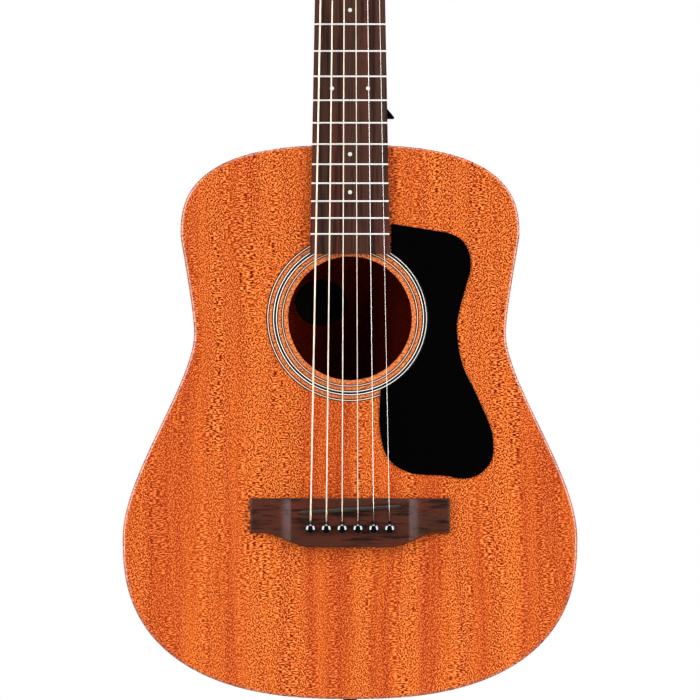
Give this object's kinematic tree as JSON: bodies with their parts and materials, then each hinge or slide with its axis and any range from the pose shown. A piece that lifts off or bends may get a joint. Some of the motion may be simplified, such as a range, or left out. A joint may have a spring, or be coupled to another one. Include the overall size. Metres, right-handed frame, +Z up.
{
  "type": "travel guitar",
  "caption": "Short-scale travel guitar with a dreadnought-shaped mahogany body, bolted-on headstock tuners, pinned bridge and pickguard.",
  "frame": {"origin": "on the centre line, at the front of the nut, in the plane of the soundboard's face", "axes": "+X to the treble side, +Y from the soundboard to the back, +Z up the neck to the headstock"},
  "size_m": [0.3308, 0.1037, 0.8906],
  "materials": {
    "mahogany_top": "satin",
    "mahogany_body": "satin",
    "inner_wood": "bare",
    "inlay": "satin",
    "label_paper": "matt",
    "black_gloss": "gloss",
    "rosewood": "open pored, satin",
    "grey_bone": "satin",
    "bone": "polished",
    "steel": "satin",
    "string_steel": "polished",
    "string_bronze": "wound wire",
    "chrome": "polished"
  },
  "bodies": {
    "guitar": {"soundboard": "mahogany_top", "back_plate": "mahogany_body", "side_treble": "mahogany_body", "side_bass": "mahogany_body", "neck_block": "inner_wood", "tail_block": "inner_wood", "top_lining_treble": "inner_wood", "top_lining_bass": "inner_wood", "back_lining_treble": "inner_wood", "back_lining_bass": "inner_wood", "x_brace_lower_lap": "inner_wood", "x_brace_upper_lap": "inner_wood", "transverse_brace": "inner_wood", "tone_bar": "inner_wood", "bridge_plate": "inner_wood", "back_brace_upper": "inner_wood", "back_brace_middle": "inner_wood", "back_brace_lower": "inner_wood", "rosette_inner_ring": "inlay", "rosette_main_ring": "inlay", "rosette_outer_ring": "inlay", "label": "label_paper", "pickguard": "black_gloss", "bridge": "rosewood", "saddle": "grey_bone", "neck": "mahogany_body", "fretboard": "rosewood", "nut": "bone", "heel_cap": "rosewood", "truss_rod": "steel", "strap_button": "black_gloss", "end_pin": "black_gloss", "headplate": "rosewood", "tuner_plate_treble": "chrome", "tuner_plate_bass": "chrome", "string_1": "string_steel", "string_2": "string_steel", "string_3": "string_bronze", "string_4": "string_bronze", "string_5": "string_bronze", "string_6": "string_bronze"},
    "tuner_key_1": {"tuner_key_1": "chrome"},
    "tuner_post_1": {"tuner_post_1": "chrome"},
    "bridge_pin_1": {"bridge_pin_1": "black_gloss"},
    "tuner_key_2": {"tuner_key_2": "chrome"},
    "tuner_post_2": {"tuner_post_2": "chrome"},
    "bridge_pin_2": {"bridge_pin_2": "black_gloss"},
    "tuner_key_3": {"tuner_key_3": "chrome"},
    "tuner_post_3": {"tuner_post_3": "chrome"},
    "bridge_pin_3": {"bridge_pin_3": "black_gloss"},
    "tuner_key_4": {"tuner_key_4": "chrome"},
    "tuner_post_4": {"tuner_post_4": "chrome"},
    "bridge_pin_4": {"bridge_pin_4": "black_gloss"},
    "tuner_key_5": {"tuner_key_5": "chrome"},
    "tuner_post_5": {"tuner_post_5": "chrome"},
    "bridge_pin_5": {"bridge_pin_5": "black_gloss"},
    "tuner_key_6": {"tuner_key_6": "chrome"},
    "tuner_post_6": {"tuner_post_6": "chrome"},
    "bridge_pin_6": {"bridge_pin_6": "black_gloss"},
    "truss_rod_nut": {"truss_rod_nut": "steel"}
  },
  "joints": [
    {"name": "tuner_key_1_turn", "type": "hinge", "parent": "guitar", "child": "tuner_key_1", "pos_m": [0.02, 0.02647, 0.03297], "axis": [1, 0, 0], "continuous": true},
    {"name": "tuner_key_2_turn", "type": "hinge", "parent": "guitar", "child": "tuner_key_2", "pos_m": [0.02, 0.03457, 0.06805], "axis": [1, 0, 0], "continuous": true},
    {"name": "tuner_key_3_turn", "type": "hinge", "parent": "guitar", "child": "tuner_key_3", "pos_m": [0.02, 0.04267, 0.10312], "axis": [1, 0, 0], "continuous": true},
    {"name": "tuner_key_4_turn", "type": "hinge", "parent": "guitar", "child": "tuner_key_4", "pos_m": [-0.02, 0.04267, 0.10312], "axis": [-1, 0, 0], "continuous": true},
    {"name": "tuner_key_5_turn", "type": "hinge", "parent": "guitar", "child": "tuner_key_5", "pos_m": [-0.02, 0.03457, 0.06805], "axis": [-1, 0, 0], "continuous": true},
    {"name": "tuner_key_6_turn", "type": "hinge", "parent": "guitar", "child": "tuner_key_6", "pos_m": [-0.02, 0.02647, 0.03297], "axis": [-1, 0, 0], "continuous": true},
    {"name": "tuner_post_1_turn", "type": "hinge", "parent": "guitar", "child": "tuner_post_1", "pos_m": [0.02, 0.00945, 0.04592], "axis": [0, -0.9744, 0.225], "continuous": true},
    {"name": "tuner_post_2_turn", "type": "hinge", "parent": "guitar", "child": "tuner_post_2", "pos_m": [0.02, 0.01755, 0.081], "axis": [0, -0.9744, 0.225], "continuous": true},
    {"name": "tuner_post_3_turn", "type": "hinge", "parent": "guitar", "child": "tuner_post_3", "pos_m": [0.02, 0.02564, 0.11608], "axis": [0, -0.9744, 0.225], "continuous": true},
    {"name": "tuner_post_4_turn", "type": "hinge", "parent": "guitar", "child": "tuner_post_4", "pos_m": [-0.02, 0.02564, 0.11608], "axis": [0, -0.9744, 0.225], "continuous": true},
    {"name": "tuner_post_5_turn", "type": "hinge", "parent": "guitar", "child": "tuner_post_5", "pos_m": [-0.02, 0.01755, 0.081], "axis": [0, -0.9744, 0.225], "continuous": true},
    {"name": "tuner_post_6_turn", "type": "hinge", "parent": "guitar", "child": "tuner_post_6", "pos_m": [-0.02, 0.00945, 0.04592], "axis": [0, -0.9744, 0.225], "continuous": true},
    {"name": "bridge_pin_1_pull", "type": "slide", "parent": "guitar", "child": "bridge_pin_1", "axis": [0, -1, 0], "range_m": [0, 0.03]},
    {"name": "bridge_pin_2_pull", "type": "slide", "parent": "guitar", "child": "bridge_pin_2", "axis": [0, -1, 0], "range_m": [0, 0.03]},
    {"name": "bridge_pin_3_pull", "type": "slide", "parent": "guitar", "child": "bridge_pin_3", "axis": [0, -1, 0], "range_m": [0, 0.03]},
    {"name": "bridge_pin_4_pull", "type": "slide", "parent": "guitar", "child": "bridge_pin_4", "axis": [0, -1, 0], "range_m": [0, 0.03]},
    {"name": "bridge_pin_5_pull", "type": "slide", "parent": "guitar", "child": "bridge_pin_5", "axis": [0, -1, 0], "range_m": [0, 0.03]},
    {"name": "bridge_pin_6_pull", "type": "slide", "parent": "guitar", "child": "bridge_pin_6", "axis": [0, -1, 0], "range_m": [0, 0.03]},
    {"name": "truss_rod_nut_turn", "type": "hinge", "parent": "guitar", "child": "truss_rod_nut", "pos_m": [0, 0.008, -0.376], "axis": [0, 0, 1], "range_deg": [-180, 180]}
  ],
  "couplings": [
    {"joint": "tuner_post_1_turn", "follows": "tuner_key_1_turn", "ratio": -0.071429},
    {"joint": "tuner_post_2_turn", "follows": "tuner_key_2_turn", "ratio": -0.071429},
    {"joint": "tuner_post_3_turn", "follows": "tuner_key_3_turn", "ratio": -0.071429},
    {"joint": "tuner_post_4_turn", "follows": "tuner_key_4_turn", "ratio": 0.071429},
    {"joint": "tuner_post_5_turn", "follows": "tuner_key_5_turn", "ratio": 0.071429},
    {"joint": "tuner_post_6_turn", "follows": "tuner_key_6_turn", "ratio": 0.071429}
  ]
}
